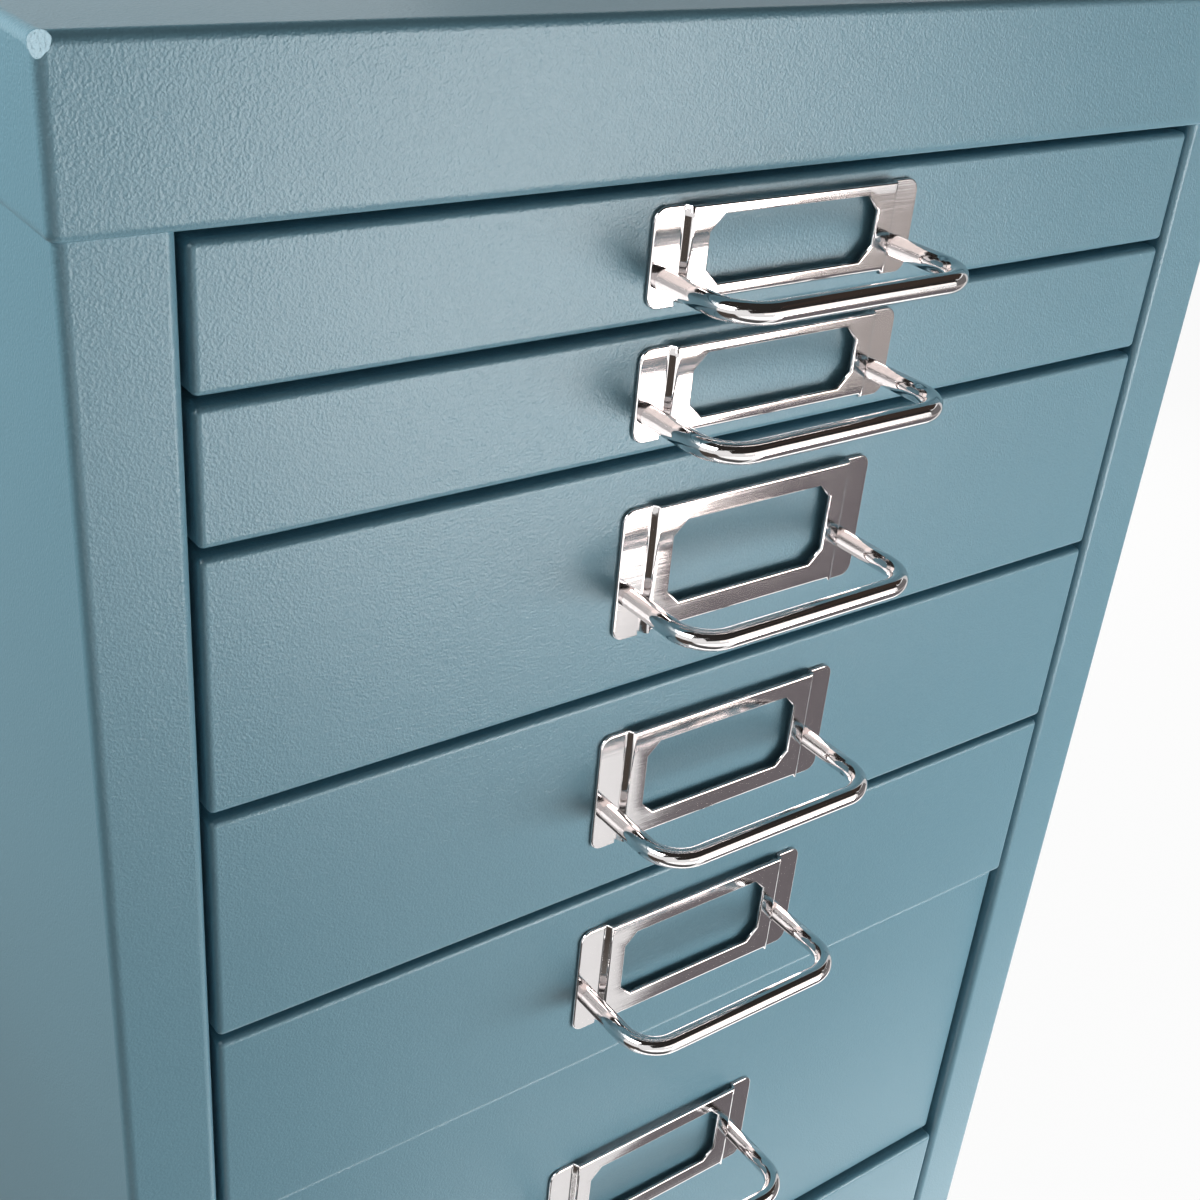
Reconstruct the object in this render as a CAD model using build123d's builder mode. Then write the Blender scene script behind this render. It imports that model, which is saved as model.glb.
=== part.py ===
from build123d import *
import os

# A tall steel cabinet of eight drawers: a folded shell under a folded cap, with shallow, medium and
# deep drawers that hang by their top flanges in channel runners. X runs across the front, Y from
# the front to the back and Z up from the floor. All lengths are in millimetres.

# Shell and cap
cabinet_width = 278.0
cabinet_depth = 378.0
cap_height = 28.6
base_height = 29.8
sheet = 1.0
shell_bend = 2.0
stile_width = 18.3
stile_return = 12.0
rear_flange = 15.0
cap_lip = 9.0
cap_hem = 0.6
edge_slack = 0.01
base_flange = 18.0
base_rail_return = 14.0
foot_height = 4.0
foot_diameter = 22.0
foot_inset = 26.0
foot_chamfer = 1.0

# Drawer rows, from the top row down, in heights of the shallowest row
row_height = 26.5
drawer_row_units = (1, 1, 2, 2, 2, 4, 4, 4)
pushed_in_drawers = (6,)
front_gap = 1.6
side_gap = 1.2
front_bend = 1.4
front_return = 10.0
push_in = 2.5

# Drawer trays and the nylon pieces that carry them
tray_sheet = 0.8
tray_depth = 350.0
tray_bend = 1.5
tray_headroom = 1.4
runner_flange = 7.0
flange_side_gap = 3.2
runner_bend = 1.5
runner_rear_gap = 2.0
mouth_clearance = 3.0
lift_clearance = 0.5
stop_clearance = 0.3
pad_height = 4.5
pad_length = 20.0
pad_inset = 2.0
pad_round = 1.5
cheek_clearance = 0.4
cheek_width = 2.5
clip_width = 1.2

# Handles: a pressed label frame with a wire bail screwed through its flanges
plate_sheet = 0.9
plate_width = 66.0
plate_flange = 7.2
plate_corner = 2.8
frame_step = 1.6
step_run = 0.8
step_root_bend = 1.3
step_crest_bend = 0.3
frame_lip_rise = 1.1
frame_lip_bend = 1.3
window_width = 42.0
window_chamfer = 3.1
small_plate_height = 19.1
small_window_height = 13.0
small_window_drop = 2.1
small_leg_rise = 5.5
large_plate_height = 29.5
large_window_height = 18.6
large_window_drop = 4.2
large_leg_rise = 9.5
large_plate_lift = 1.5
wire_diameter = 4.3
bail_reach = 22.5
bail_bend = 8.0
screw_diameter = 2.6
screw_clearance = 0.1
screw_grip = 6.0
screw_head_diameter = 6.0
screw_head_height = 1.8
screw_head_chamfer = 0.5

# Places that follow from the sizes above
half_width = cabinet_width / 2
inner_half_width = half_width - sheet
opening_half_width = half_width - stile_width
total_height = base_height + front_gap + row_height * sum(drawer_row_units) + cap_height
cap_bottom = total_height - cap_height
panel_height = total_height - shell_bend - foot_height
bail_front = bail_reach + wire_diameter / 2
front_y = (bail_front - cabinet_depth - sheet) / 2
rear_y = front_y + cabinet_depth
back_panel_y = rear_y - 2 * sheet
runner_front_y = front_y + front_return + push_in + stop_clearance
runner_length = back_panel_y - runner_rear_gap - runner_front_y
flange_half_width = opening_half_width - flange_side_gap
tray_half_width = flange_half_width - runner_flange
mouth_half_width = tray_half_width + mouth_clearance
plate_half_width = plate_width / 2
leg_half_span = plate_half_width - plate_flange / 2
screw_hole_diameter = screw_diameter + 2 * screw_clearance


def write_node(piece, node):
    """Labels a finished piece and writes it as a node."""
    piece.part.label = node
    export_step(piece.part, f"parts/{node}.step")


os.makedirs("parts", exist_ok=True)

# Top cap: a pan folded from one sheet that slips over the shell, with a lip behind its front edge
with BuildPart() as top_cap:
    with BuildSketch(Plane.XY.offset(cap_bottom)):
        with Locations((0, (front_y + rear_y) / 2)):
            RectangleRounded(cabinet_width + 2 * sheet, cabinet_depth + 2 * sheet, shell_bend)
    extrude(amount=cap_height)
    fillet(top_cap.faces().sort_by(Axis.Z)[-1].edges(), shell_bend - edge_slack)
    offset(amount=-sheet, openings=top_cap.faces().sort_by(Axis.Z)[0])
    with BuildSketch(Plane.XY.offset(cap_bottom)):
        with Locations((0, front_y)):
            Rectangle(2 * opening_half_width, cap_lip, align=(Align.CENTER, Align.MIN))
    extrude(amount=sheet)
    rim = top_cap.faces().filter_by(Axis.Z).sort_by(Axis.Z)[0]
    fillet(rim.outer_wire().edges().sort_by(Axis.Y)[0], cap_hem)
write_node(top_cap, "top_cap")

# Side panels: front stile, its return behind the drawers, and a rear flange, all in one sheet
with BuildPart() as left_side:
    with BuildSketch(Plane.XY.offset(foot_height)):
        with BuildLine():
            FilletPolyline(
                (-opening_half_width, front_y + stile_return),
                (-opening_half_width, front_y),
                (-half_width, front_y),
                (-half_width, rear_y),
                (-half_width + rear_flange, rear_y),
                radius=shell_bend,
            )
            offset(amount=sheet, side=Side.RIGHT)
        make_face()
    extrude(amount=panel_height)
write_node(left_side, "left_side")

with BuildPart() as right_side:
    mirror(left_side.part, about=Plane.YZ)
write_node(right_side, "right_side")

# Back panel: a flat sheet inside the rear flanges
with BuildPart() as back_panel:
    with BuildSketch(Plane.XY.offset(foot_height)):
        with Locations((0, back_panel_y)):
            Rectangle(cabinet_width - 2 * shell_bend, sheet, align=(Align.CENTER, Align.MIN))
    extrude(amount=panel_height)
write_node(back_panel, "back_panel")

# Base: a rail between the stiles and a pan with upturned sides behind it
with BuildPart() as base_rail:
    with BuildSketch(Plane.YZ.offset(-opening_half_width)):
        with BuildLine():
            FilletPolyline(
                (front_y + base_rail_return, base_height),
                (front_y, base_height),
                (front_y, foot_height),
                (front_y + base_rail_return, foot_height),
                radius=front_bend,
            )
            offset(amount=sheet, side=Side.LEFT)
        make_face()
    extrude(amount=2 * opening_half_width)
write_node(base_rail, "base_rail")

with BuildPart() as base_pan:
    with BuildSketch(Plane.XZ.offset(-front_y - base_rail_return)):
        with BuildLine():
            FilletPolyline(
                (-inner_half_width, foot_height + base_flange),
                (-inner_half_width, foot_height),
                (inner_half_width, foot_height),
                (inner_half_width, foot_height + base_flange),
                radius=shell_bend,
            )
            offset(amount=sheet, side=Side.LEFT)
        make_face()
    extrude(amount=front_y + base_rail_return - back_panel_y)
write_node(base_pan, "base_pan")

with BuildPart() as feet:
    with BuildSketch():
        with Locations((0, (front_y + rear_y) / 2)):
            with GridLocations(cabinet_width - 2 * foot_inset, cabinet_depth - 2 * foot_inset, 2, 2):
                Circle(foot_diameter / 2)
    extrude(amount=foot_height)
    chamfer(feet.faces().group_by(Axis.Z)[0].edges(), foot_chamfer)
write_node(feet, "feet")

# Heights of the drawer fronts and of the tray flanges that the runners carry
front_tops = []
front_bottoms = []
flange_heights = []
row_top = cap_bottom
for units in drawer_row_units:
    front_tops.append(row_top - front_gap)
    flange_heights.append(row_top - front_gap - sheet - tray_headroom - tray_sheet)
    row_top -= units * row_height
    front_bottoms.append(row_top)

# Runners: one channel on each side of every row, welded to the side panel, open towards the tray
with BuildSketch() as channel_section:
    with BuildLine():
        FilletPolyline(
            (-mouth_half_width, -pad_height - sheet),
            (-inner_half_width, -pad_height - sheet),
            (-inner_half_width, tray_sheet + lift_clearance + sheet),
            (-mouth_half_width, tray_sheet + lift_clearance + sheet),
            radius=runner_bend,
        )
        offset(amount=sheet, side=Side.RIGHT)
    make_face()

with BuildPart() as left_runners:
    with BuildSketch(Plane.XZ.offset(-runner_front_y)):
        with Locations(*[(0, height) for height in flange_heights]):
            add(channel_section.sketch)
    extrude(amount=-runner_length)
write_node(left_runners, "left_runners")

with BuildPart() as right_runners:
    mirror(left_runners.part, about=Plane.YZ)
write_node(right_runners, "right_runners")

# Front guides: a nylon pad on each channel's lower shelf, with a cheek beside the tray flange
guide_front_y = runner_front_y + pad_inset
guide_rear_y = guide_front_y + pad_length
with BuildSketch() as guide_section:
    with BuildLine():
        Polyline(
            (-mouth_half_width, -pad_height),
            (-mouth_half_width, 0),
            (-flange_half_width - cheek_clearance, 0),
            (-flange_half_width - cheek_clearance, tray_sheet),
            (-flange_half_width - cheek_clearance - cheek_width, tray_sheet),
            (-flange_half_width - cheek_clearance - cheek_width, -pad_height),
            close=True,
        )
    make_face()

with BuildPart() as front_guides:
    with BuildSketch(Plane.XZ.offset(-guide_front_y)):
        with Locations(*[(0, height) for height in flange_heights]):
            add(guide_section.sketch)
    extrude(amount=-pad_length)
    mirror(about=Plane.YZ)
write_node(front_guides, "front_guides")


def drawer_front(face_y, bottom, top, legs):
    """Folded front: a shallow pan open to the rear, drilled for the handle screws."""
    with BuildPart() as front:
        with BuildSketch(Plane.XZ.offset(-face_y)):
            with Locations((0, (bottom + top) / 2)):
                Rectangle(2 * (opening_half_width - side_gap), top - bottom)
        extrude(amount=-front_return)
        offset(amount=-sheet, openings=front.faces().sort_by(Axis.Y)[-1])
        corners = front.edges().filter_by(Axis.Y).group_by(Axis.X)
        fillet(corners[0] + corners[-1], front_bend)
        fillet(front.faces().sort_by(Axis.Y)[0].edges(), front_bend - edge_slack)
        with BuildSketch(Plane.XZ.offset(-face_y)):
            with Locations(*legs):
                Circle(screw_hole_diameter / 2)
        extrude(amount=-front_return, mode=Mode.SUBTRACT)
    return front


def drawer_tray(face_y, bottom, flange_height, legs):
    """Folded tray: a channel with outward top flanges, closed by a front and a rear wall."""
    tray_bottom = bottom + front_bend
    corner = tray_half_width - tray_sheet
    with BuildPart() as tray:
        with BuildSketch(Plane.XZ.offset(-face_y - sheet)):
            with BuildLine():
                FilletPolyline(
                    (-flange_half_width, flange_height),
                    (-tray_half_width, flange_height),
                    (-tray_half_width, tray_bottom),
                    (tray_half_width, tray_bottom),
                    (tray_half_width, flange_height),
                    (flange_half_width, flange_height),
                    radius=tray_bend,
                )
                offset(amount=tray_sheet, side=Side.LEFT)
            make_face()
        extrude(amount=-tray_depth)
        for wall_y in (face_y + sheet, face_y + sheet + tray_depth - tray_sheet):
            with BuildSketch(Plane.XZ.offset(-wall_y)):
                with BuildLine():
                    FilletPolyline(
                        (-corner, flange_height),
                        (-corner, tray_bottom + tray_sheet),
                        (corner, tray_bottom + tray_sheet),
                        (corner, flange_height),
                        radius=tray_bend - tray_sheet,
                    )
                    Line((corner, flange_height), (-corner, flange_height))
                make_face()
            extrude(amount=-tray_sheet)
        with BuildSketch(Plane.XZ.offset(-face_y - sheet)):
            with Locations(*legs):
                Circle(screw_hole_diameter / 2)
        extrude(amount=-tray_sheet, mode=Mode.SUBTRACT)
    return tray


def rear_glides(face_y, flange_height):
    """Pair of nylon glides clipped under the rear ends of the tray's flanges."""
    glide_y = face_y + sheet + tray_depth - pad_length
    inner = tray_half_width + tray_bend
    with BuildPart() as glides:
        with BuildSketch(Plane.XZ.offset(-glide_y)):
            with BuildLine():
                Polyline(
                    (inner, flange_height - pad_height),
                    (inner, flange_height),
                    (flange_half_width, flange_height),
                    (flange_half_width, flange_height + tray_sheet),
                    (flange_half_width + clip_width, flange_height + tray_sheet),
                    (flange_half_width + clip_width, flange_height - pad_height),
                    close=True,
                )
            make_face()
        extrude(amount=-pad_length)
        fillet(glides.faces().sort_by(Axis.Z)[0].edges().filter_by(Axis.X), pad_round)
        mirror(about=Plane.YZ)
    return glides


def label_frame(face_y, plate_bottom, plate_height, window_height, window_drop, legs):
    """Pressed card holder: flat flanges, a raised frame with an eight-sided window, a lower lip."""
    step_root = plate_half_width - plate_flange
    step_crest = step_root - step_run
    frame_front = frame_step + plate_sheet
    frame_bottom = plate_bottom + frame_lip_rise
    lip_top = frame_bottom + 2 * frame_lip_bend
    window_middle = plate_bottom + plate_height - window_drop - window_height / 2
    with BuildPart() as frame:
        with BuildSketch(Plane.XY.offset(plate_bottom)):
            with BuildLine():
                FilletPolyline(
                    (-plate_half_width, face_y),
                    (-step_root, face_y),
                    (-step_crest, face_y - frame_step),
                    (step_crest, face_y - frame_step),
                    (step_root, face_y),
                    (plate_half_width, face_y),
                    radius=(step_root_bend, step_crest_bend, step_crest_bend, step_root_bend),
                )
                offset(amount=plate_sheet, side=Side.RIGHT)
            make_face()
        extrude(amount=plate_height)
        corners = frame.edges().filter_by(Axis.Y)
        fillet(corners.group_by(Axis.X)[0] + corners.group_by(Axis.X)[-1], plate_corner)
        with BuildSketch(Plane.XY.offset(plate_bottom)):
            with Locations((0, face_y)):
                Rectangle(2 * step_root, frame_front, align=(Align.CENTER, Align.MAX))
        extrude(amount=lip_top - plate_bottom, mode=Mode.SUBTRACT)
        with BuildSketch(Plane.YZ):
            with BuildLine():
                FilletPolyline(
                    (face_y, frame_bottom),
                    (face_y - frame_front, frame_bottom),
                    (face_y - frame_front, lip_top),
                    radius=frame_lip_bend,
                )
                offset(amount=plate_sheet, side=Side.RIGHT)
            make_face()
        extrude(amount=step_crest, both=True)
        with BuildSketch(Plane.XZ.offset(-face_y)):
            with Locations((0, window_middle)):
                window = Rectangle(window_width, window_height)
            chamfer(window.vertices(), window_chamfer)
            with Locations(*legs):
                Circle(screw_hole_diameter / 2)
        extrude(amount=frame_front, mode=Mode.SUBTRACT)
    return frame


def wire_bail(face_y, leg_height):
    """Round wire bent to a bail, its legs seated on the frame's flanges and drilled for screws."""
    seat_y = face_y - plate_sheet
    with BuildPart() as bail:
        with BuildLine(Plane.XY.offset(leg_height)) as route:
            FilletPolyline(
                (-leg_half_span, seat_y),
                (-leg_half_span, face_y - bail_reach),
                (leg_half_span, face_y - bail_reach),
                (leg_half_span, seat_y),
                radius=bail_bend,
            )
        with BuildSketch(Plane(origin=route.line @ 0, z_dir=route.line % 0)):
            Circle(wire_diameter / 2)
        sweep()
        with BuildSketch(Plane.XZ.offset(-seat_y)):
            with Locations((-leg_half_span, leg_height), (leg_half_span, leg_height)):
                Circle(screw_hole_diameter / 2)
        extrude(amount=screw_grip + screw_clearance, mode=Mode.SUBTRACT)
    return bail


def handle_screws(face_y, legs):
    """Pair of pan-head screws from inside the tray into the bail's legs."""
    head_y = face_y + sheet + tray_sheet
    shank_length = sheet + tray_sheet + plate_sheet + screw_grip
    with BuildPart() as screws:
        with BuildSketch(Plane.XZ.offset(-head_y)):
            with Locations(*legs):
                Circle(screw_diameter / 2)
        extrude(amount=shank_length)
        with BuildSketch(Plane.XZ.offset(-head_y)):
            with Locations(*legs):
                Circle(screw_head_diameter / 2)
        extrude(amount=-screw_head_height)
        chamfer(screws.faces().group_by(Axis.Y)[-1].edges(), screw_head_chamfer)
    return screws


# Drawers, numbered from the top
for number, units in enumerate(drawer_row_units, start=1):
    bottom = front_bottoms[number - 1]
    top = front_tops[number - 1]
    flange_height = flange_heights[number - 1]
    face_y = front_y
    if number in pushed_in_drawers:
        face_y = front_y + push_in
    if units == 1:
        plate_height = small_plate_height
        plate_bottom = (bottom + top - plate_height) / 2
        window_height = small_window_height
        window_drop = small_window_drop
        leg_height = plate_bottom + small_leg_rise
    else:
        plate_height = large_plate_height
        plate_bottom = (bottom + top - plate_height) / 2 + large_plate_lift
        window_height = large_window_height
        window_drop = large_window_drop
        leg_height = plate_bottom + large_leg_rise
    legs = [(-leg_half_span, leg_height), (leg_half_span, leg_height)]
    node = f"drawer_{number}"
    write_node(drawer_front(face_y, bottom, top, legs), f"{node}_front")
    write_node(drawer_tray(face_y, bottom, flange_height, legs), f"{node}_tray")
    write_node(rear_glides(face_y, flange_height), f"{node}_rear_glides")
    frame = label_frame(face_y, plate_bottom, plate_height, window_height, window_drop, legs)
    write_node(frame, f"{node}_label_frame")
    write_node(wire_bail(face_y, leg_height), f"{node}_handle")
    write_node(handle_screws(face_y, legs), f"{node}_handle_screws")
    glide_front_y = face_y + sheet + tray_depth - pad_length
    travel = glide_front_y - guide_rear_y - stop_clearance
    print(node, "slides out", round(travel, 2), "in", round(front_y + push_in - face_y, 2))
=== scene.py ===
from math import cos, pi, radians, sin

import bmesh
import bpy
from mathutils import Matrix, Vector


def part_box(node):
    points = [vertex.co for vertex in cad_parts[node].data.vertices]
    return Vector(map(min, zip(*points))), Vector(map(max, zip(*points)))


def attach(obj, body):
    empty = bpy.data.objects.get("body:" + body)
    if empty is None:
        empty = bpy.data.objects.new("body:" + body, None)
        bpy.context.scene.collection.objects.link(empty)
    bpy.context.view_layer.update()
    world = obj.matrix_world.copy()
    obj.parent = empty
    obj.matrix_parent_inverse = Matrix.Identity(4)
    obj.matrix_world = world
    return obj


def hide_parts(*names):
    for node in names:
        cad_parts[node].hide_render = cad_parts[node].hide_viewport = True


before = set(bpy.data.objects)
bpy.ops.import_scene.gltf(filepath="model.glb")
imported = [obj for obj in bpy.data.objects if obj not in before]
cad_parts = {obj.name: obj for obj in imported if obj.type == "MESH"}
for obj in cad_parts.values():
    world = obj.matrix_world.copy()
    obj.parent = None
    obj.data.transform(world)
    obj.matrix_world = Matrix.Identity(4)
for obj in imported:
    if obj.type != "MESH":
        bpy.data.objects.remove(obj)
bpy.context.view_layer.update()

# Side panels: front stile, stile return, side and rear flange, folded from one steel sheet each
# and finished in a satin grey-blue powder coat with a fine leathery grain. They are welded to the
# base and carry the channels that the drawers hang in.
sheet = 0.001
shell_bend = 0.002
stile_return = 0.012
rear_flange = 0.015
edge_round = 0.0002
# Coat colours: a darker one painted as shade in the grain's hollows and a lighter one painted as
# light on its crests.
coat_painted_hollow_shade = (0.122, 0.254, 0.316, 1.0)
coat_painted_crest_light = (0.172, 0.33, 0.406, 1.0)


class Signal:
    """A shader socket; sums written with it add Math nodes."""

    def __init__(self, tree, socket=None):
        self.tree = tree
        self.socket = socket

    def node(self, kind, settings, sockets, output=0):
        """Adds a node with its settings first, then the values or links of its sockets."""
        made = self.tree.nodes.new(kind)
        for name, setting in settings.items():
            if name == "stops":
                ramp = made.color_ramp.elements
                for stop, (position, colour) in zip((ramp[0], ramp[1]), setting):
                    stop.position = position
                    stop.color = colour
            else:
                setattr(made, name, setting)
        for name, value in sockets.items():
            if isinstance(value, Signal):
                self.tree.links.new(value.socket, made.inputs[name])
            else:
                made.inputs[name].default_value = value
        return Signal(self.tree, made.outputs[output])

    def sum(self, operation, first, second):
        return self.node("ShaderNodeMath", {"operation": operation}, {0: first, 1: second})

    def __add__(self, other):
        return self.sum("ADD", self, other)

    def __radd__(self, other):
        return self.sum("ADD", other, self)

    def __sub__(self, other):
        return self.sum("SUBTRACT", self, other)

    def __rsub__(self, other):
        return self.sum("SUBTRACT", other, self)

    def __mul__(self, other):
        return self.sum("MULTIPLY", self, other)

    def __rmul__(self, other):
        return self.sum("MULTIPLY", other, self)

    def feed(self, socket):
        self.tree.links.new(self.socket, socket)


def new_finish(name):
    """A material, its shader, and the place on the piece that its patterns read."""
    finish = bpy.data.materials.new(name)
    finish.use_nodes = True
    tree = finish.node_tree
    place = Signal(tree).node("ShaderNodeTexCoord", {}, {}, "Object")
    return finish, tree.nodes["Principled BSDF"], place


powder_coat, shader, place = new_finish("powder_coat")
wrinkle = place.node(
    "ShaderNodeTexNoise", {},
    {"Vector": place, "Scale": 1850.0, "Detail": 1.5, "Roughness": 0.5, "Distortion": 0.3},
)
pebble = place.node(
    "ShaderNodeTexVoronoi", {"feature": "SMOOTH_F1"},
    {"Vector": place, "Scale": 2100.0, "Smoothness": 0.7},
)
cloud = place.node("ShaderNodeTexNoise", {}, {"Vector": place, "Scale": 14.0, "Detail": 3.0})
# The base colour follows the grain's relief: painted shade in the hollows and painted light on the
# crests, with a slow random tone from the cloud noise on top.
grain = wrinkle * 0.75 - pebble * 0.35
relief_shade_and_tone = wrinkle * 0.7 + cloud * 0.3
place.node(
    "ShaderNodeMix", {"data_type": "RGBA"},
    {0: relief_shade_and_tone, 6: coat_painted_hollow_shade, 7: coat_painted_crest_light}, 2,
).feed(shader.inputs["Base Color"])
(0.3 + 0.04 * cloud - 0.05 * wrinkle).feed(shader.inputs["Roughness"])
place.node(
    "ShaderNodeBump", {}, {"Strength": 1.0, "Distance": 0.00009, "Height": grain},
).feed(shader.inputs["Normal"])
shader.inputs["IOR"].default_value = 1.5


def add_piece(name, shape, finish, body, node, wall=0.0, edge=0.0):
    """A finished piece that stands for a node: its wall, its softened edges, and its body."""
    mesh = bpy.data.meshes.new(name)
    for face in shape.faces:
        face.smooth = True
    shape.to_mesh(mesh)
    shape.free()
    mesh.materials.append(finish)
    piece = bpy.data.objects.new(name, mesh)
    bpy.context.scene.collection.objects.link(piece)
    if wall:
        solid = piece.modifiers.new("wall", "SOLIDIFY")
        solid.thickness = wall
        solid.offset = -1.0
        solid.use_even_offset = True
    if edge:
        soft = piece.modifiers.new("edge", "BEVEL")
        soft.width = edge
        soft.segments = 2
        soft.limit_method = "ANGLE"
        soft.angle_limit = radians(50)
    flats = piece.modifiers.new("flats", "WEIGHTED_NORMAL")
    flats.weight = 90
    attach(piece, body)
    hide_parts(node)
    return piece


def verts_of(geom):
    return [part for part in geom if isinstance(part, bmesh.types.BMVert)]


def edges_of(geom):
    return [part for part in geom if isinstance(part, bmesh.types.BMEdge)]


def folded_strip(corners, rise, bend):
    """A sheet folded along a line of corners and drawn out along rise, with round bends."""
    strip = bmesh.new()
    line = [strip.verts.new(corner) for corner in corners]
    edges = [strip.edges.new(pair) for pair in zip(line, line[1:])]
    drawn = bmesh.ops.extrude_edge_only(strip, edges=edges)["geom"]
    bmesh.ops.translate(strip, vec=rise, verts=verts_of(drawn))
    folds = [e for e in strip.edges if not e.is_boundary]
    bmesh.ops.bevel(
        strip, geom=folds, offset=bend, affect="EDGES", segments=8, profile=0.5, material=-1,
    )
    return strip


for hand, node in ((1, "left_side"), (-1, "right_side")):
    low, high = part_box("left_side")
    panel = folded_strip(
        [
            (high.x, low.y + stile_return, low.z),
            (high.x, low.y, low.z),
            (low.x, low.y, low.z),
            (low.x, high.y, low.z),
            (low.x + rear_flange, high.y, low.z),
        ],
        (0.0, 0.0, high.z - low.z),
        shell_bend,
    )
    bmesh.ops.scale(panel, vec=(hand, 1, 1), verts=panel.verts)
    bmesh.ops.recalc_face_normals(panel, faces=panel.faces)
    add_piece(
        f"{node}_panel", panel, powder_coat, "cabinet", node, sheet, edge_round,
    )

# Back panel: a flat steel sheet spot-welded inside the rear flanges, in the same coat.
# Its edges are hidden by the flanges, so the plain sheet is the whole of it.
def dress(node, finish):
    """Gives a node's own mesh its finish."""
    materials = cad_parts[node].data.materials
    materials.clear()
    materials.append(finish)


dress("back_panel", powder_coat)

# Base: a folded rail between the stiles, and a pan behind it with upturned sides.
# Both are coated steel sheet, spot-welded to the side panels.
rail_bend = 0.0014
low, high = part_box("base_rail")
rail = folded_strip(
    [
        (low.x, high.y, high.z),
        (low.x, low.y, high.z),
        (low.x, low.y, low.z),
        (low.x, high.y, low.z),
    ],
    (high.x - low.x, 0.0, 0.0),
    rail_bend,
)
bmesh.ops.recalc_face_normals(rail, faces=rail.faces)
add_piece(
    "base_rail_strip", rail, powder_coat, "cabinet", "base_rail", sheet, edge_round,
)
dress("base_pan", powder_coat)

# Feet: four low pads of black rubber under the base pan, moulded with a slightly dusty skin.
# They are pressed on and carry the whole cabinet.
rubber, shader, place = new_finish("foot_rubber")
dust = place.node("ShaderNodeTexNoise", {}, {"Vector": place, "Scale": 260.0, "Detail": 4.0})
place.node(
    "ShaderNodeMix", {"data_type": "RGBA"},
    {0: dust, 6: (0.012, 0.012, 0.013, 1.0), 7: (0.04, 0.04, 0.041, 1.0)}, 2,
).feed(shader.inputs["Base Color"])
(0.62 + 0.25 * dust).feed(shader.inputs["Roughness"])
place.node(
    "ShaderNodeBump", {}, {"Strength": 0.4, "Distance": 0.0001, "Height": dust},
).feed(shader.inputs["Normal"])
dress("feet", rubber)

# Top cap: a pan folded from one coated sheet, its corners welded and dressed flat and its lower
# edge rolled in. It slips over the side panels, and a lip folded back behind its front edge
# stiffens it over the top drawer.
cap_lip = 0.009
hem_rise = 0.0019
hem_steps = 6
corner_dressing = 0.001
dressing_lean = 0.75
dressing_rim = 0.0002
cap_edge_round = 0.0004
low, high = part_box("top_cap")
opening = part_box("base_rail")[1].x
cap = bmesh.new()
bmesh.ops.create_cube(cap, size=1.0)
bmesh.ops.scale(cap, vec=high - low, verts=cap.verts)
bmesh.ops.translate(cap, vec=(low + high) / 2, verts=cap.verts)
under = [f for f in cap.faces if f.normal.z < -0.5]
bmesh.ops.delete(cap, geom=under, context="FACES")
folds = [e for e in cap.edges if not e.is_boundary]
bmesh.ops.bevel(
    cap, geom=folds, offset=shell_bend, affect="EDGES", segments=8, profile=0.5, material=-1,
)
for side_x, side_y in ((-1, -1), (1, -1), (1, 1), (-1, 1)):
    facing = Vector((side_x, side_y, dressing_lean)).normalized()
    bend_centre = Vector((
        (low.x if side_x < 0 else high.x) - side_x * shell_bend,
        (low.y if side_y < 0 else high.y) - side_y * shell_bend,
        high.z - shell_bend,
    ))
    cut = bmesh.ops.bisect_plane(
        cap, geom=cap.verts[:] + cap.edges[:] + cap.faces[:],
        plane_co=bend_centre + facing * corner_dressing, plane_no=facing, clear_outer=True,
    )["geom_cut"]
    dressed = bmesh.ops.contextual_create(cap, geom=edges_of(cut))["faces"]
    bmesh.ops.inset_individual(cap, faces=dressed, thickness=dressing_rim, use_even_offset=True)
middle = (low + high) / 2
hem = [e for e in cap.edges if e.is_boundary]
bmesh.ops.translate(cap, vec=(0.0, 0.0, hem_rise), verts=list({v for e in hem for v in e.verts}))
turned = 0.0
for step in range(1, hem_steps + 1):
    drawn = bmesh.ops.extrude_edge_only(cap, edges=hem)["geom"]
    hem = edges_of(drawn)
    ring = verts_of(drawn)
    angle = step * pi / (2 * hem_steps)
    inward = sheet * (cos(turned) - cos(angle))
    bmesh.ops.scale(
        cap, vec=(1 - inward / (middle.x - low.x), 1 - inward / (middle.y - low.y), 1),
        space=Matrix.Translation(-middle), verts=ring,
    )
    bmesh.ops.translate(cap, vec=(0.0, 0.0, hem_rise * (sin(turned) - sin(angle))), verts=ring)
    turned = angle
bmesh.ops.recalc_face_normals(cap, faces=cap.faces)
lip = [
    cap.verts.new((side * opening, low.y + back, low.z))
    for side, back in ((-1, sheet), (-1, cap_lip), (1, cap_lip), (1, sheet))
]
cap.faces.new(lip)
add_piece(
    "top_cap_pan", cap, powder_coat, "cabinet", "top_cap", sheet, cap_edge_round,
)

# Runners: a folded channel on each side of every row, coated and spot-welded to the side panels.
# The trays' flanges run in them.
for node in ("left_runners", "right_runners"):
    dress(node, powder_coat)

# Front guides: a natural nylon pad clipped on the front end of every channel, slightly waxy,
# with the faint mottling of moulded nylon.
nylon, shader, place = new_finish("nylon")
mottle = place.node("ShaderNodeTexNoise", {}, {"Vector": place, "Scale": 180.0, "Detail": 3.0})
place.node(
    "ShaderNodeMix", {"data_type": "RGBA"},
    {0: mottle, 6: (0.58, 0.56, 0.49, 1.0), 7: (0.74, 0.73, 0.67, 1.0)}, 2,
).feed(shader.inputs["Base Color"])
(0.34 + 0.16 * mottle).feed(shader.inputs["Roughness"])
place.node(
    "ShaderNodeBump", {}, {"Strength": 0.2, "Distance": 0.00008, "Height": mottle},
).feed(shader.inputs["Normal"])
dress("front_guides", nylon)

# Drawer fronts: a shallow pan folded from coated sheet with its corners ground round,
# spot-welded to the front wall of the tray behind it.
front_bend = 0.0014


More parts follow.
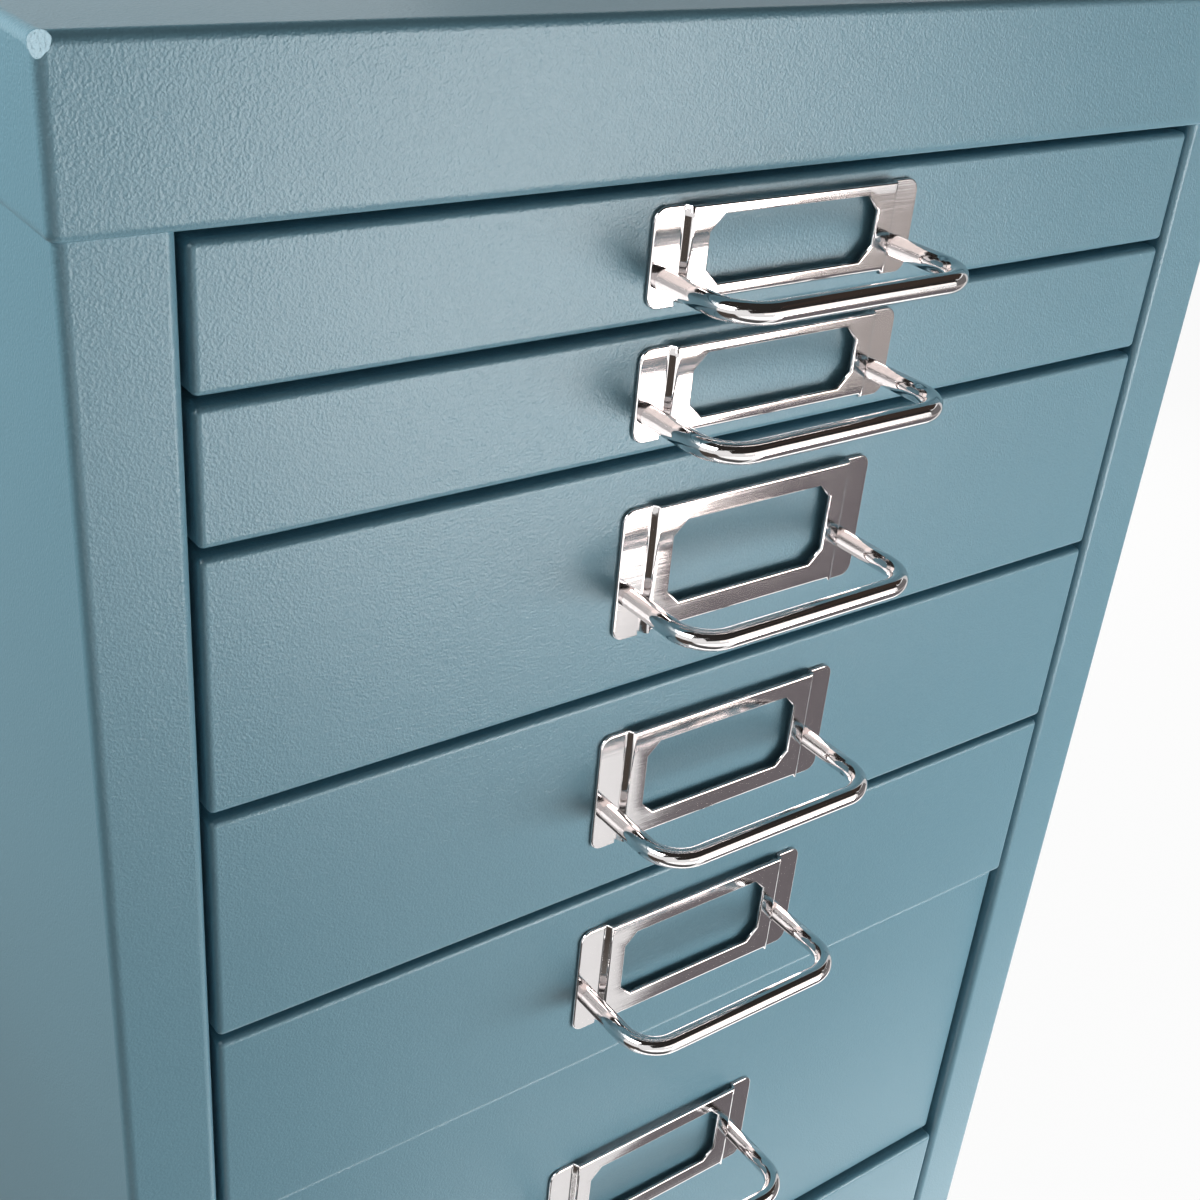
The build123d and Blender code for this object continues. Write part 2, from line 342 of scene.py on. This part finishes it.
def drawer_front(number):
    low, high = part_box(f"drawer_{number}_front")
    pan = bmesh.new()
    bmesh.ops.create_cube(pan, size=1.0)
    bmesh.ops.scale(pan, vec=high - low, verts=pan.verts)
    bmesh.ops.translate(pan, vec=(low + high) / 2, verts=pan.verts)
    rear = [f for f in pan.faces if f.normal.y > 0.5]
    bmesh.ops.delete(pan, geom=rear, context="FACES")
    folds = [e for e in pan.edges if not e.is_boundary]
    bmesh.ops.bevel(
        pan, geom=folds, offset=front_bend, affect="EDGES", segments=7, profile=0.5, material=-1,
    )
    add_piece(
        f"drawer_{number}_front_pan", pan, powder_coat,
        f"drawer_{number}", f"drawer_{number}_front", sheet, edge_round,
    )


# Trays: folded steel boxes with outward flanges along their tops, in the same coat.
# Natural nylon glides are clipped under the flanges' rear ends.
def drawer_tray(number):
    dress(f"drawer_{number}_tray", powder_coat)
    dress(f"drawer_{number}_rear_glides", nylon)


# Card frames: pressed from thin steel sheet and bright plated. Flat flanges lie on the drawer
# front, and between them a raised frame with an eight-sided window takes a card from above.
# Its lower edge is folded back to the front as a lip.
plate_sheet = 0.0009
plate_corner = 0.0028
rim_round = 0.0004
step_root = 0.02636
step_crest = 0.02556
root_bend = 0.00015
crest_bend = 0.0005
lip_half_width = 0.0246
lip_rise = 0.0011
lip_bend = 0.0013
window_half_width = 0.021
window_chamfer = 0.0031
tall_plate = 0.025
tall_window_height, tall_window_drop = 0.0186, 0.0042
low_window_height, low_window_drop = 0.013, 0.0021
touching = 1e-5
same_line = 1e-6

plated_steel, shader, place = new_finish("plated_steel")
along = place.node("ShaderNodeMapping", {}, {"Vector": place, "Scale": (30.0, 900.0, 2600.0)})
polish = place.node("ShaderNodeTexNoise", {}, {"Vector": along, "Scale": 1.0, "Detail": 3.0})
haze = place.node("ShaderNodeTexNoise", {}, {"Vector": place, "Scale": 120.0, "Detail": 3.0})
place.node(
    "ShaderNodeMix", {"data_type": "RGBA"},
    {0: haze, 6: (0.72, 0.69, 0.69, 1.0), 7: (0.80, 0.775, 0.77, 1.0)}, 2,
).feed(shader.inputs["Base Color"])
(0.03 + 0.07 * polish + 0.04 * haze).feed(shader.inputs["Roughness"])
place.node(
    "ShaderNodeBump", {}, {"Strength": 0.25, "Distance": 0.00003, "Height": polish},
).feed(shader.inputs["Normal"])
shader.inputs["Metallic"].default_value = 1.0


def card_frame(number):
    low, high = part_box(f"drawer_{number}_label_frame")
    tall = high.z - low.z > tall_plate
    window_height = tall_window_height if tall else low_window_height
    window_drop = tall_window_drop if tall else low_window_drop
    window_top = high.z - window_drop
    window_bottom = window_top - window_height
    lip_level = low.z + lip_rise
    flange_y = high.y - plate_sheet
    half_columns = (
        (high.x, flange_y),
        (step_root, flange_y),
        (step_crest, low.y),
        (lip_half_width, low.y),
        (window_half_width, low.y),
        (window_half_width - window_chamfer, low.y),
    )
    columns = [(-x, y) for x, y in half_columns] + list(half_columns[::-1])
    skin = bmesh.new()
    line = [skin.verts.new((x, y, low.z)) for x, y in columns]
    row = [skin.edges.new(pair) for pair in zip(line, line[1:])]
    height = low.z
    for level in (
        lip_level, window_bottom, window_bottom + window_chamfer,
        window_top - window_chamfer, window_top, high.z,
    ):
        drawn = bmesh.ops.extrude_edge_only(skin, edges=row)["geom"]
        row = edges_of(drawn)
        bmesh.ops.translate(skin, vec=(0.0, 0.0, level - height), verts=verts_of(drawn))
        height = level
    below = [
        f for f in skin.faces
        if f.calc_center_median().z < lip_level and abs(f.calc_center_median().x) < step_root
    ]
    bmesh.ops.delete(skin, geom=below, context="FACES")

    middle = Vector((0.0, low.y, (window_top + window_bottom) / 2))

    def past_chamfer(point):
        across = abs(point.x - middle.x) - window_half_width + window_chamfer
        up = abs(point.z - middle.z) - window_height / 2 + window_chamfer
        return across, up

    for face in list(skin.faces):
        across, up = past_chamfer(face.calc_center_median())
        if 0 < across < window_chamfer and 0 < up < window_chamfer:
            ends = sorted(face.verts, key=lambda v: (v.co - middle).length)[1:3]
            bmesh.ops.connect_verts(skin, verts=ends)
    hole = []
    for face in skin.faces:
        across, up = past_chamfer(face.calc_center_median())
        inside = across < window_chamfer and up < window_chamfer
        if inside and max(across, 0) + max(up, 0) < window_chamfer:
            hole.append(face)
    bmesh.ops.delete(skin, geom=hole, context="FACES")

    rungs = [
        e for e in skin.edges
        if not e.is_boundary
        and abs(e.verts[0].co.z - e.verts[1].co.z) < same_line
        and all(abs(v.co.x) > step_root - touching for v in e.verts)
    ]
    bmesh.ops.dissolve_edges(skin, edges=rungs, use_verts=True)
    ends = [
        v for v in skin.verts
        if abs(v.co.x) > high.x - touching
        and (v.co.z < low.z + touching or v.co.z > high.z - touching)
    ]
    bmesh.ops.bevel(
        skin, geom=ends, offset=plate_corner, affect="VERTICES", segments=8, profile=0.5,
        material=-1,
    )
    for line_x, bend in ((step_root, root_bend), (step_crest, crest_bend)):
        folds = [
            e for e in skin.edges
            if not e.is_boundary and all(abs(abs(v.co.x) - line_x) < same_line for v in e.verts)
        ]
        bmesh.ops.bevel(
            skin, geom=folds, offset=bend, affect="EDGES", segments=5, profile=0.5, material=-1,
        )
    fold = [
        e for e in skin.edges
        if e.is_boundary
        and all(abs(v.co.z - lip_level) < same_line for v in e.verts)
        and all(abs(v.co.x) < lip_half_width + same_line for v in e.verts)
    ]
    drawn = bmesh.ops.extrude_edge_only(skin, edges=fold)["geom"]
    bmesh.ops.translate(skin, vec=(0.0, high.y - low.y, 0.0), verts=verts_of(drawn))
    bmesh.ops.bevel(
        skin, geom=fold, offset=lip_bend, affect="EDGES", segments=6, profile=0.5, material=-1,
    )
    bmesh.ops.recalc_face_normals(skin, faces=skin.faces)
    bmesh.ops.solidify(skin, geom=skin.faces[:], thickness=plate_sheet)
    bmesh.ops.recalc_face_normals(skin, faces=skin.faces)
    rims = []
    for edge in skin.edges:
        facing = sorted(f.normal.y for f in edge.link_faces)
        by_lip = all(
            v.co.z < lip_level + plate_sheet and abs(v.co.x) < step_root + touching
            for v in edge.verts
        )
        if len(facing) == 2 and facing[0] < -0.99 and abs(facing[1]) < 0.1 and not by_lip:
            rims.append(edge)
    bmesh.ops.bevel(
        skin, geom=rims, offset=rim_round, affect="EDGES", segments=3, profile=0.5, material=-1,
        clamp_overlap=False,
    )
    add_piece(
        f"drawer_{number}_card_frame", skin, plated_steel,
        f"drawer_{number}", f"drawer_{number}_label_frame",
    )


# Bails: round steel wire bent to a square bow, plated like the frames. Each leg stands on a
# flange of the card frame and is held by a screw from inside the tray.
bail_bend = 0.008


def wire_bail(number):
    low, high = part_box(f"drawer_{number}_handle")
    radius = (high.z - low.z) / 2
    leg = high.x - radius
    level = (low.z + high.z) / 2
    bar_y = low.y + radius
    turn_y = bar_y + bail_bend
    wire = bmesh.new()
    place = Matrix.Translation((-leg, high.y, level)) @ Matrix.Rotation(pi / 2, 4, "X")
    bmesh.ops.create_circle(wire, segments=48, radius=radius, matrix=place)
    ring = list(wire.edges)

    def run(step):
        drawn = bmesh.ops.extrude_edge_only(wire, edges=ring)["geom"]
        bmesh.ops.translate(wire, vec=step, verts=verts_of(drawn))
        return edges_of(drawn)

    def turn(centre_x):
        drawn = bmesh.ops.spin(
            wire, geom=ring, cent=(centre_x, turn_y, level), axis=(0, 0, 1), angle=pi / 2, steps=18,
        )["geom_last"]
        return edges_of(drawn)

    ring = run((0.0, turn_y - high.y, 0.0))
    ring = turn(-leg + bail_bend)
    ring = run((2 * (leg - bail_bend), 0.0, 0.0))
    ring = turn(leg - bail_bend)
    ring = run((0.0, high.y - turn_y, 0.0))
    bmesh.ops.remove_doubles(wire, verts=wire.verts, dist=same_line)
    bmesh.ops.holes_fill(wire, edges=[e for e in wire.edges if e.is_boundary], sides=0)
    bmesh.ops.recalc_face_normals(wire, faces=wire.faces)
    add_piece(
        f"drawer_{number}_bail", wire, plated_steel,
        f"drawer_{number}", f"drawer_{number}_handle",
    )


# Handle screws: zinc-plated pan-head screws, driven from inside the tray into the bail's legs.
# They clamp the tray's wall, the front and the card frame together, and finish each drawer.
zinc, shader, place = new_finish("screw_steel")
spangle = place.node("ShaderNodeTexVoronoi", {}, {"Vector": place, "Scale": 700.0})
place.node(
    "ShaderNodeMix", {"data_type": "RGBA"},
    {0: spangle, 6: (0.46, 0.47, 0.47, 1.0), 7: (0.62, 0.62, 0.60, 1.0)}, 2,
).feed(shader.inputs["Base Color"])
(0.28 + 0.2 * spangle).feed(shader.inputs["Roughness"])
shader.inputs["Metallic"].default_value = 1.0

drawer_count = 8
for number in range(1, drawer_count + 1):
    drawer_front(number)
    drawer_tray(number)
    card_frame(number)
    wire_bail(number)
    dress(f"drawer_{number}_handle_screws", zinc)

# Floor: a plain pale studio floor, matt and far wider than the picture.
# It goes white where it is seen and keeps the cabinet's soft shadow.
floor_reach = 9.0
floor_white = 0.95


def seen_rays(tree):
    """1 for rays that look at a thing or mirror it, 0 for the light that falls on it."""
    camera_ray, glossy_ray, clear_ray = [
        Signal(tree).node("ShaderNodeLightPath", {}, {}, ray)
        for ray in ("Is Camera Ray", "Is Glossy Ray", "Is Transmission Ray")
    ]
    return camera_ray + glossy_ray + clear_ray


floor_mesh = bmesh.new()
bmesh.ops.create_grid(floor_mesh, x_segments=8, y_segments=8, size=floor_reach)
floor_data = bpy.data.meshes.new("floor")
floor_mesh.to_mesh(floor_data)
floor_mesh.free()
floor = bpy.data.objects.new("floor", floor_data)
bpy.context.scene.collection.objects.link(floor)
paper = bpy.data.materials.new("pale_floor")
paper.use_nodes = True
tree = paper.node_tree
shader = tree.nodes["Principled BSDF"]
shader.inputs["Base Color"].default_value = (0.72, 0.72, 0.71, 1.0)
shader.inputs["Roughness"].default_value = 0.8
matt = Signal(tree, shader.outputs[0])
white = matt.node("ShaderNodeEmission", {}, {"Color": (1.0, 1.0, 1.0, 1.0), "Strength": 1.0})
matt.node(
    "ShaderNodeMixShader", {}, {0: seen_rays(tree) * floor_white, 1: matt, 2: white},
).feed(tree.nodes["Material Output"].inputs["Surface"])
floor_data.materials.append(paper)

# Studio light: a pale surround, a broad soft box low at the front right, a smaller one high on
# the left, and one behind that keeps the back and the right side readable.
surround_fill = 0.11
scene = bpy.context.scene
surround = bpy.data.worlds.new("studio")
surround.use_nodes = True
tree = surround.node_tree
strength = surround_fill + (1 - surround_fill) * seen_rays(tree)
strength.feed(tree.nodes["Background"].inputs["Strength"])
tree.nodes["Background"].inputs["Color"].default_value = (1.0, 1.0, 1.0, 1.0)
scene.world = surround
for name, spot, aim, size, watts in (
    ("right_box", (0.5, -0.75, 0.18), (0.03, -0.177, 0.34), (0.7, 0.32), 6.1),
    ("left_box", (-0.55, 0.1, 0.82), (-0.139, -0.06, 0.5), (0.35, 0.35), 4.9),
    ("rear_box", (1.0, 0.9, 0.5), (0.1, 0.1, 0.3), (0.6, 0.6), 10.0),
):
    lamp = bpy.data.lights.new(name, "AREA")
    lamp.shape = "RECTANGLE"
    lamp.size, lamp.size_y = size
    lamp.energy = watts
    holder = bpy.data.objects.new(name, lamp)
    holder.location = spot
    holder.rotation_euler = (Vector(aim) - Vector(spot)).to_track_quat("-Z", "Y").to_euler()
    holder.visible_glossy = False
    holder.visible_camera = False
    scene.collection.objects.link(holder)

# Boards: glowing cards round the cabinet, out of the picture, seen only in reflections: they paint
# the reflections in the plated metal and the sheen on the satin coat. Dark ones hang overhead and
# high in front, greys lie on the floor at the sides, warm white ones at the front right paint the
# drawers' sheen, and a bright one high on the left paints the cap corner's highlight.
dark = (0.03, 0.027, 0.025, 1.0)
white = (1.0, 1.0, 1.0, 1.0)
warm_white = (1.0, 0.91, 0.87, 1.0)
for name, colour, glow, corners in (
    ("card_overhead", dark, 1.0, (
        (-4.0, -1.7, 2.3), (1.6, -1.7, 2.3), (1.6, 4.0, 2.3), (-4.0, 4.0, 2.3))),
    ("card_overhead_right", (0.05, 0.036, 0.03, 1.0), 1.0, (
        (1.6, -1.7, 2.3), (3.8, -1.7, 2.3), (3.8, 1.2, 2.3), (1.6, 1.2, 2.3))),
    ("card_right", (0.18, 0.163, 0.173, 1.0), 1.0, (
        (0.14, -0.34, 0.004), (0.9, -1.28, 0.004), (1.4, -0.34, 0.004))),
    ("card_right_far", (0.42, 0.385, 0.37, 1.0), 1.0, (
        (1.4, -0.34, 0.004), (0.9, -1.28, 0.004), (1.4, -1.9, 0.004), (3.2, -1.2, 0.004),
        (3.2, -0.34, 0.004))),
    ("card_flank", (0.75, 0.75, 0.75, 1.0), 1.0, (
        (0.142, -0.17, 0.0), (0.8, -0.17, 0.0), (0.8, -0.17, 0.62), (0.142, -0.17, 0.62))),
    ("card_foot", white, 2.0, (
        (-0.4, -0.31, 0.004), (0.6, -0.31, 0.004), (0.6, -0.19, 0.004), (-0.4, -0.19, 0.004))),
    ("card_near", (0.1, 0.1, 0.1, 1.0), 1.0, (
        (-0.7, -0.72, 0.006), (0.17, -0.72, 0.006), (0.05, -0.34, 0.006), (-0.7, -0.34, 0.006))),
    ("card_front", warm_white, 9.6, (
        (0.2, -0.92, 0.006), (0.62, -0.92, 0.006), (1.2, -1.45, 0.006), (1.6, -1.9, 0.006),
        (0.75, -2.3, 0.006))),
    ("card_front_left", white, 2.2, (
        (-1.0, -0.95, 0.004), (0.18, -0.95, 0.004), (0.72, -2.3, 0.004), (-1.0, -2.3, 0.004))),
    ("card_box", warm_white, 9.6, (
        (0.8, -2.3, 0.0), (1.6, -1.85, 0.0), (1.6, -1.85, 0.72), (0.8, -2.3, 0.72))),
    ("card_corner", white, 12.0, (
        (-0.7, -0.1, 0.78), (-0.62, -0.45, 0.78), (-0.5, -0.42, 1.12), (-0.58, -0.07, 1.12))),
    ("card_back", (0.72, 0.72, 0.72, 1.0), 1.0, (
        (-3.0, 4.0, 0.0), (2.4, 4.0, 0.0), (2.4, 4.0, 2.29), (-3.0, 4.0, 2.29))),
    ("card_back_right", (0.3, 0.3, 0.3, 1.0), 1.0, (
        (2.4, 4.0, 0.0), (6.0, 2.5, 0.0), (6.0, 2.5, 2.29), (2.4, 4.0, 2.29))),
    ("card_tall", warm_white, 1.7, (
        (-0.1, -2.5, 0.72), (1.9, -1.7, 0.72), (1.9, -1.7, 1.3), (-0.1, -2.5, 1.3))),
    ("card_high", dark, 1.0, (
        (-1.4, -2.6, 1.3), (2.6, -1.6, 1.3), (2.2, -1.4, 2.5), (-1.4, -2.0, 2.5))),
    ("card_side", (0.18, 0.172, 0.172, 1.0), 1.0, (
        (2.3, -1.9, 0.0), (3.2, 0.8, 0.0), (3.2, 0.8, 1.6), (2.3, -1.9, 1.6))),
    ("card_beside", (0.2, 0.19, 0.18, 1.0), 1.0, (
        (-0.45, -0.34, 0.004), (-0.141, -0.16, 0.004), (-0.141, 5.0, 0.004), (-0.45, 5.0, 0.004))),
    ("card_left", (0.08, 0.066, 0.057, 1.0), 1.0, (
        (-2.6, -1.6, 0.004), (-0.45, -0.594, 0.004), (-0.45, 5.0, 0.004), (-2.6, 5.0, 0.004))),
):
    board = bmesh.new()
    board.faces.new([board.verts.new(corner) for corner in corners])
    board_data = bpy.data.meshes.new(name)
    board.to_mesh(board_data)
    board.free()
    card = bpy.data.objects.new(name, board_data)
    scene.collection.objects.link(card)
    card.visible_camera = False
    card.visible_diffuse = False
    card.visible_transmission = False
    card.visible_shadow = False
    # Each board's material is an emission seen only in reflections: it paints reflections and sheen
    # and lights nothing.
    board_glow = bpy.data.materials.new(name)
    board_glow.use_nodes = True
    board_glow.cycles.emission_sampling = "NONE"
    tree = board_glow.node_tree
    Signal(tree).node(
        "ShaderNodeEmission", {}, {"Color": colour, "Strength": glow},
    ).feed(tree.nodes["Material Output"].inputs["Surface"])
    board_data.materials.append(board_glow)

# Camera: above the left front corner of the cap, close to it and looking down along the drawers.
# Its place, heading and slight roll were worked out from the cabinet's straight edges.
camera_place = (-0.2112, -0.3981, 0.6338)
heading, drop, roll = -38.349, 28.886, 5.497
lens = bpy.data.cameras.new("camera")
lens.sensor_width = 36.0
lens.lens = 48.72
lens.clip_start = 0.01
camera = bpy.data.objects.new("camera", lens)
camera.matrix_world = (
    Matrix.Translation(camera_place)
    @ Matrix.Rotation(radians(heading), 4, "Z")
    @ Matrix.Rotation(radians(90 - drop), 4, "X")
    @ Matrix.Rotation(radians(roll), 4, "Z")
)
scene.collection.objects.link(camera)
scene.camera = camera
scene.view_settings.view_transform = "Standard"
